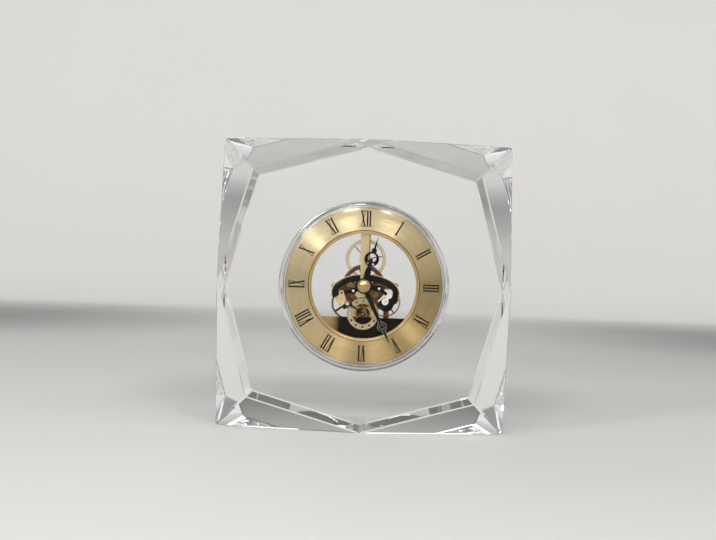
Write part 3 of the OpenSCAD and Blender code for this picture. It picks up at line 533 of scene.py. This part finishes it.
def bar_gilt(name):
    """The hanging bar's pale gilt, with painted shade that turns it brown along its right side."""
    finish = Finish(name, Metallic=1.0, Roughness=0.27)
    across = parts_of(finish.tree, finish.place())["X"]
    marks = finish.group(straight_grain, Stretch=(4000, 4000, 150))
    pale = finish.blend(marks["Tone"], (0.63, 0.51, 0.27), (0.71, 0.59, 0.33))
    # Painted shade: the right side is brown, standing in for the bar's unlit side wall.
    painted_shade_side = finish.span(across, (0.0, 1.0), (1.55 * MM, 1.75 * MM))
    finish.feed(Base_Color=finish.blend(painted_shade_side, pale, (0.36, 0.20, 0.08)),
                Roughness=finish.span(marks["Grain"], (0.3, 0.38)))
    finish.bump(marks["Grain"], 0.03, 0.01)
    return finish.material


def wheel_gilt(name, axis, inner, colour, inner_colour, lines=()):
    """A gilt wheel about an axis given from the hands' one. Its rim has one colour, and its spokes
    and hub, inside radius inner, have another. Each of the lines is a darker turned band, from one
    radius to another."""
    finish = Finish(name, Metallic=1.0, Roughness=0.25)
    centre = (axis[0], 0.0, HANDS_Z + axis[1])
    radius = finish.vector("LENGTH", finish.vector("MULTIPLY", finish.away(centre), (1, 0, 1)))
    axis_place = tuple(part * MM for part in centre)
    shade = finish.group(turned_lines, Axis=axis_place, Lines_per_mm=5.0)["Shade"]
    edge = finish.group(cut_edges)["Edge"]

    def border(at, half_width):
        return (at - half_width) * MM, (at + half_width) * MM

    rim = finish.span(radius, (0.0, 1.0), border(inner, 0.1))
    tone = finish.blend(rim, inner_colour, finish.blend(shade, dimmed(colour, 0.86), colour))
    for start, end in lines:
        line = finish.band(radius, border(start, 0.06), border(end, 0.06))
        tone = finish.blend(line, tone, (0.56, 0.42, 0.20))
    finish.feed(Base_Color=finish.blend(edge, tone, dimmed(colour, 0.8)),
                Roughness=finish.span(shade, (0.2, 0.32)))
    return finish.material


def ruby(name):
    """Pink synthetic ruby with a slow change of depth."""
    finish = Finish(name, Roughness=0.05, Coat_Weight=1.0, Coat_Roughness=0.03, Subsurface_Weight=0.25)
    tone = finish.group(straight_grain, Stretch=(900, 900, 900), Drift=700.0)["Tone"]
    finish.feed(Base_Color=finish.blend(tone, (0.80, 0.50, 0.50), (0.97, 0.84, 0.82)))
    return finish.material


# The finish of each material slot, and of the nodes that differ from their slot

slot_finishes = {
    "crystal": clear_finish("crystal", 1.517, (0.992, 0.996, 0.995), see_light=0.2),
    "clear_plastic": clear_finish("clear acrylic", 1.49, (0.97, 0.975, 0.985), see_light=0.95),
    "rubber": moulded("grip rubber", (0.62, 0.62, 0.62), 0.6),
    "steel": plated("fine steel", (0.72, 0.70, 0.67), 0.24, strength=0.05),
    "brushed_gold": sunray_gold("brushed gilt"),
    "dark_gold": turned_metal("dark gilt", (0.55, 0.38, 0.17), 0.26),
    "black_print": moulded("black print", (0.010, 0.006, 0.003), 0.5, specular=0.1),
    "pale_gold": plated("pale gilt", (0.95, 0.89, 0.72), 0.36),
    "gold": plated("polished gilt", (0.80, 0.62, 0.33), 0.3, strength=0.03),
    # The brown plates' pale edge colours are painted highlights on their cut edges.
    "bronze": plated("brown plate", (0.24, 0.10, 0.04), 0.26, (0.60, 0.38, 0.20)),
    "dark_bronze": plated("dark brown plate", (0.16, 0.07, 0.035), 0.24, (0.50, 0.30, 0.16)),
    "copper": plated("copper wire", (0.78, 0.36, 0.16), 0.24, grain=(900, 900, 900), strength=0.0),
    "black_plastic": moulded("black moulding", (0.02, 0.02, 0.02), 0.3, coat=0.3),
    "circuit": circuit_laminate("circuit laminate"),
    "jewel": ruby("ruby"),
}

MINUTE_AXIS = (0.5, math.sqrt(11**2 - 0.5**2))
SECONDS_AXIS = (0.0, -11.4)
PLATE_OVAL = ((0.75, 0.0, HANDS_Z - 2.8), 14.2, 7.7)
MINUTE_HAND_RING = ((7.92, -26.8, HANDS_Z - 16.38), 2.6)
coated_window = clear_finish("coated window", 1.12, (0.985, 0.985, 0.99), see_light=0.95)
black_hand = black_lacquer("black hand", (0.10, 0.07, 0.04))
node_finishes = {
    "rear_window": coated_window,
    "dial_lip": wheel_gilt("lip gilt", (0.0, 0.0), 22.45, (0.38, 0.23, 0.10), (0.74, 0.56, 0.28)),
    "centre_cap": turned_metal("domed gilt", (0.52, 0.38, 0.18), 0.28, lines=4.0),
    "hanging_bridge": bar_gilt("bar gilt"),
    # The front plate's oval line and the minute hand's glint spot are painted highlights.
    "front_plate": black_lacquer("oval black lacquer", (0.70, 0.56, 0.33), oval=PLATE_OVAL),
    "minute_hand": black_lacquer("minute hand black", (1.0, 0.93, 0.72), painted_glint_spot=MINUTE_HAND_RING),
    "hour_hand": black_hand,
    "seconds_arm": black_hand,
    "minute_wheel": wheel_gilt("pale wheel", MINUTE_AXIS, 6.6, (0.84, 0.72, 0.48), (0.34, 0.20, 0.09),
                               lines=((6.5, 6.95), (7.85, 9.0))),
    "seconds_ring": wheel_gilt("cream ring", SECONDS_AXIS, 4.2, (0.68, 0.57, 0.35), (0.20, 0.12, 0.06),
                               lines=((4.1, 4.45), (6.2, 7.0))),
    "seconds_gear": wheel_gilt("orange wheel", SECONDS_AXIS, 2.6, (0.88, 0.52, 0.16), (0.40, 0.22, 0.10)),
    "battery_housing": black_with_painted_reflection("crescent black"),
    "plate_screws": plated("polished screws", (0.93, 0.92, 0.90), 0.3, strength=0.02),
    "motor_capsule": slot_finishes["black_plastic"],
}

record = frame["record"]
slot_of = {part["node"]: part["material_slot"] for part in record["subparts"]}
body_of = {node: body for body, nodes in record["behaviour"]["bodies"].items() for node in nodes}


def finish_of(node):
    """The node's own finish, or else its slot's."""
    return node_finishes.get(node) or slot_finishes[slot_of[node]]


def dress(piece, node, material=None):
    """The piece stands for the node, rides on its body and takes its finish or the material."""
    piece.data.materials.append(material or finish_of(node))
    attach(piece, body_of[node])
    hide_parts(node)
    return piece


def ease_node(node, width, steps=1):
    """Narrow edges on a flat CAD piece: its triangles are welded, then its corners bevelled."""
    piece = frame["nodes"][node]
    weld = piece.modifiers.new("weld", "WELD")
    weld.merge_threshold = 1e-6
    bevel = piece.modifiers.new("edges", "BEVEL")
    bevel.width = width * MM
    bevel.segments = steps
    bevel.limit_method = "ANGLE"
    bevel.angle_limit = math.radians(40)
    bevel.use_clamp_overlap = True
    bevel.harden_normals = True


for node, piece in frame["nodes"].items():
    piece.data.materials.clear()
    piece.data.materials.append(finish_of(node))

# The crystal, and the lens with its bezel: a rounded outer edge, and a bead between two grooves

dress(crystal("crystal"), "crystal_block")

bezel_r, bezel_bore_r, bezel_round, lens_t = 34.5, 31.6, 1.55, 1.5
bead_r, bead_middle = 0.4, 32.25
bezel_y = FACE_Y - 5.0
groove_y = bezel_y + bead_r
curve = np.radians(np.linspace(0, 90, 13))
outer_edge = np.stack([bezel_r - bezel_round + bezel_round * np.cos(curve),
                       bezel_y + 0.1 + bezel_round - bezel_round * np.sin(curve)], -1)
bead = np.stack([bead_middle + bead_r * np.cos(2 * curve), groove_y - bead_r * np.sin(2 * curve)], -1)
lens_outline = np.concatenate([
    [[bezel_bore_r, FACE_Y], [bezel_r, FACE_Y]], outer_edge, [[bead_middle + 0.55, groove_y]], bead,
    [[bead_middle - 0.55, groove_y], [bead_middle - 0.62, bezel_y], [0, bezel_y],
     [0, bezel_y + lens_t], [bezel_bore_r, bezel_y + lens_t]]])
lens = dress(turned("lens_and_bezel", lens_outline), "front_lens")

# The lens's two flat faces, inside the bezel, are coated

lens.data.materials.append(coated_window)
faces = lens.data.polygons
centres, normals = np.zeros(3 * len(faces)), np.zeros(3 * len(faces))
faces.foreach_get("center", centres)
faces.foreach_get("normal", normals)
from_axis = np.hypot(centres[0::3], centres[2::3] - HANDS_Z * MM) / MM
coated = (from_axis < bezel_bore_r + 0.1) & (np.abs(normals[1::3]) > 0.9)
faces.foreach_set("material_index", coated.astype(np.int32))

# The case wall, with a groove outside for the grip band and a seat inside for the rear window

case_r, case_bore_r, ring_r, seat_r, ring_t = 32.7, 30.6, 32.05, 31.3, 0.8
ring_seat_r, band_seat_r = ring_r + 0.04, case_r - 0.8
band_front, band_back, case_back, window_front = FACE_Y + 6.25, FACE_Y + 14.25, FACE_Y + 20.5, -7.0
dress(turned("case_wall", eased([
    (ring_seat_r, FACE_Y), (case_r, FACE_Y), (case_r, band_front), (band_seat_r, band_front),
    (band_seat_r, band_back), (case_r, band_back), (case_r, case_back), (seat_r, case_back),
    (seat_r, window_front), (case_bore_r, window_front), (case_bore_r, FACE_Y + ring_t),
    (ring_seat_r, FACE_Y + ring_t)], 0.05)), "case_shell")

# The dial's ring, its lip as steps of (distance beyond the opening, height), and the domed cap

ring_bore_r = 21.3
dress(turned("dial_ring", eased([
    (ring_bore_r, FACE_Y), (ring_r, FACE_Y), (ring_r, FACE_Y + ring_t),
    (ring_bore_r, FACE_Y + ring_t)], 0.12)), "chapter_ring")

lip_steps = (
    (0.0, 0.0), (0.0, 0.3), (0.3, 0.3), (0.4, 0.1), (0.55, 0.1), (0.65, 0.28),
    (1.1, 0.28), (1.2, 0.06), (1.34, 0.06), (1.42, 0.16), (1.5, 0.16), (1.5, 0.0))
dress(turned("dial_ring_lip", eased([
    (ring_bore_r + beyond, FACE_Y - height) for beyond, height in lip_steps], 0.04)), "dial_lip")

cap_r, cap_h, cap_y, cap_bore, cap_rim = 2.65, 1.1, -26.9, 0.54, 0.08
dome_r = (cap_r**2 + cap_h**2) / (2 * cap_h)
swing = np.linspace(math.asin(cap_r / dome_r) * 0.97, 0, 20)
dome = np.stack([dome_r * np.sin(swing), cap_y - (cap_h - dome_r + dome_r * np.cos(swing))], -1)
cap_outline = np.concatenate([
    [[cap_bore, cap_y], [cap_r - cap_rim, cap_y], [cap_r, cap_y - 0.06]], dome,
    [[0, cap_y - 0.1], [cap_bore, cap_y - 0.1]]])
dress(turned("domed_cap", cap_outline, steps=96), "centre_cap")

# Small hidden and half-hidden pieces that deserve a fuller form

dress(knurled_knob("knurled_setting_knob", MINUTE_AXIS, front=-4.1, back=0.9, radius=1.8),
      "setting_knob")

coil_middle, coil_l, winding_r = (9.7, -8.95, -11.0), 5.2, 1.2
winding_l = coil_l - 1.2
flange_r, tube_r, tube_bore_r = 1.6, 1.14, 0.62
coil_end, flange_inside = coil_l / 2, coil_l / 2 - 0.5
dress(wound_coil("copper_winding", coil_middle, winding_l, winding_r, wire=0.09, turns=22),
      "motor_coil")
dress(bobbin("coil_bobbin", coil_middle, eased([
    (tube_bore_r, -coil_end), (flange_r, -coil_end), (flange_r, -flange_inside),
    (tube_r, -flange_inside), (tube_r, flange_inside), (flange_r, flange_inside),
    (flange_r, coil_end), (tube_bore_r, coil_end)], 0.08)),
    "motor_coil", slot_finishes["black_plastic"])

ease_node("front_plate", 0.22, steps=2)
ease_node("minute_hand", 0.2)
for node in ("hanging_bridge", "left_cock", "right_cock", "seconds_arm", "hour_hand",
             "seconds_ring", "back_plate", "bridge_screws", "plate_screws", "pillar_screws",
             "housing_screws"):
    ease_node(node, 0.1)
for node in ("minute_wheel", "hour_wheel", "third_wheel", "right_wheel", "centre_wheel",
             "seconds_gear"):
    ease_node(node, 0.035)


# Studio, in metres: a pale sweep, soft lamps and a world whose sides are darker than its top

PALE = (0.80, 0.79, 0.77)
GREY = (0.16, 0.155, 0.15)
DIAL = (0.0, FACE_Y * MM, HANDS_Z * MM)


def sweep(name, width=9.0, front=-2.6, back=4.0, height=3.6, bend=1.2, steps=24):
    """Floor and backdrop: flat on z = 0, then a quarter circle of radius bend, then upright."""
    turn = np.linspace(0, math.pi / 2, steps)
    y = np.concatenate([[front, 0.0], back - bend + bend * np.sin(turn), [back]])
    z = np.concatenate([[0, 0], bend - bend * np.cos(turn), [height]])
    grid = np.stack([np.stack([np.full_like(y, side * width / 2), y, z], -1) for side in (-1, 1)])
    return grid_piece(name, grid / MM, sharp_angle=60.0, close_rows=False, close_columns=False)


def graduated(name):
    """The sweep's paint: pale in view, greyer far to the sides, high up, and in front of the view.
    A soft grey patch further back on both sides is there for the crystal to refract, and so is a
    painted shadow on the floor close behind the block. The floor is lit by the lamps; the upright
    part shows more of its own colour, also to metal and glass."""
    finish = Finish(name, Roughness=0.5, Specular_IOR_Level=0.2)
    parts = parts_of(finish.tree, finish.place())
    aside = finish.number("ABSOLUTE", parts["X"])
    mark = finish.group(smudges, Size=3.0, From=0.3)["Mark"]
    pale = finish.blend(mark, PALE, dimmed(PALE, 0.985))
    far_aside = finish.span(aside, (0.0, 0.6), (1.4, 2.2))
    before = finish.span(parts["Y"], (0.0, 0.4), (-0.36, -0.9))
    above = finish.span(parts["Z"], (0.0, 1.0), (1.08, 1.35))
    rear_sides = finish.number(
        "MULTIPLY", finish.band(parts["Y"], (0.6, 1.0), (1.6, 2.6)),
        finish.span(aside, (0.0, 0.5), (0.2, 0.5)))
    # Painted shadow: a soft grey patch on the floor close behind the block.
    painted_shadow_behind = finish.number(
        "MULTIPLY", finish.band(parts["Y"], (0.02, 0.14), (0.24, 0.36), top=0.4),
        finish.span(aside, (1.0, 0.0), (0.04, 0.14)))
    grey = far_aside
    for other in (before, above, rear_sides, painted_shadow_behind):
        grey = finish.number("MAXIMUM", grey, other)
    paint = finish.blend(grey, pale, GREY)
    ray = put(finish.tree, "ShaderNodeLightPath").outputs
    shown = finish.number("MAXIMUM", ray["Is Camera Ray"],
                          finish.number("MAXIMUM", ray["Is Glossy Ray"], ray["Is Transmission Ray"]))
    own = finish.span(parts["Y"], (0.0, 0.45), (0.6, 3.2))
    finish.feed(Base_Color=paint, Emission_Color=paint,
                Emission_Strength=finish.number("MULTIPLY", shown, own))
    return finish.material


floor = sweep("floor")
floor.data.materials.append(graduated("graduated paint"))


def lamp(name, place, power, size):
    """A soft square or oblong area lamp that faces the dial."""
    data = bpy.data.lights.new(name, "AREA")
    data.shape = "RECTANGLE"
    data.size, data.size_y = size
    data.energy = power
    lamp_object = bpy.data.objects.new(name, data)
    lamp_object.location = place
    aim = np.array(DIAL) - np.array(place)
    pitch = math.atan2(-aim[2], math.hypot(aim[0], aim[1]))
    lamp_object.rotation_euler = (math.pi / 2 - pitch, 0, math.atan2(aim[1], aim[0]) - math.pi / 2)
    bpy.context.scene.collection.objects.link(lamp_object)


lamp("key lamp", (-0.60, -0.90, 0.60), 2.8, (0.14, 0.14))
lamp("left top lamp", (-0.17, -0.85, 0.75), 2.0, (0.14, 0.4))
lamp("right top lamp", (0.24, -0.85, 0.72), 2.0, (0.14, 0.4))
lamp("side lamp", (0.95, -0.35, 0.45), 0.8, (0.3, 0.6))
lamp("overhead lamp", (0.0, -0.20, 1.05), 1.6, (0.9, 0.2))
lamp("back lamp", (-0.35, 0.85, 0.75), 1.6, (0.8, 0.3))

world = bpy.data.worlds.new("studio")
bpy.context.scene.world = world
world.use_nodes = True
sky = world.node_tree
direction = parts_of(sky, put(sky, "ShaderNodeTexCoord").outputs["Generated"])
from_below = spread(sky, direction["Z"], (0.3, 0.85), (-0.2, 0.3))
to_top = spread(sky, direction["Z"], (1.0, 0.3), (0.35, 0.8))
to_sides = spread(sky, calc(sky, "ABSOLUTE", direction["X"]), (1.0, 0.65), (0.5, 0.9))
level = calc(sky, "MULTIPLY", calc(sky, "MULTIPLY", from_below, to_top), to_sides)
give(sky, sky.nodes["Background"].inputs["Color"], level)

# Camera: square to the face and 540 mm off it, rolled a little, and shifted by a few pixels

PICTURE_WIDTH = 716
HALF_TILT, HALF_ROLL = math.radians(90) / 2, math.radians(2) / 2
camera_data = bpy.data.cameras.new("camera")
camera_data.sensor_width = 36.0
camera_data.lens = 66.7
camera_data.shift_x = -5.8 / PICTURE_WIDTH
camera_data.shift_y = 16.0 / PICTURE_WIDTH
camera_data.clip_start = 0.01
camera = bpy.data.objects.new("camera", camera_data)
camera.location = (0.0, (FACE_Y - 540.0) * MM, HANDS_Z * MM)
camera.rotation_mode = "QUATERNION"
camera.rotation_quaternion = (
    math.cos(HALF_TILT) * math.cos(HALF_ROLL), math.sin(HALF_TILT) * math.cos(HALF_ROLL),
    -math.sin(HALF_TILT) * math.sin(HALF_ROLL), math.cos(HALF_TILT) * math.sin(HALF_ROLL))
bpy.context.scene.collection.objects.link(camera)
bpy.context.scene.camera = camera

bpy.context.scene.view_settings.view_transform = "Standard"
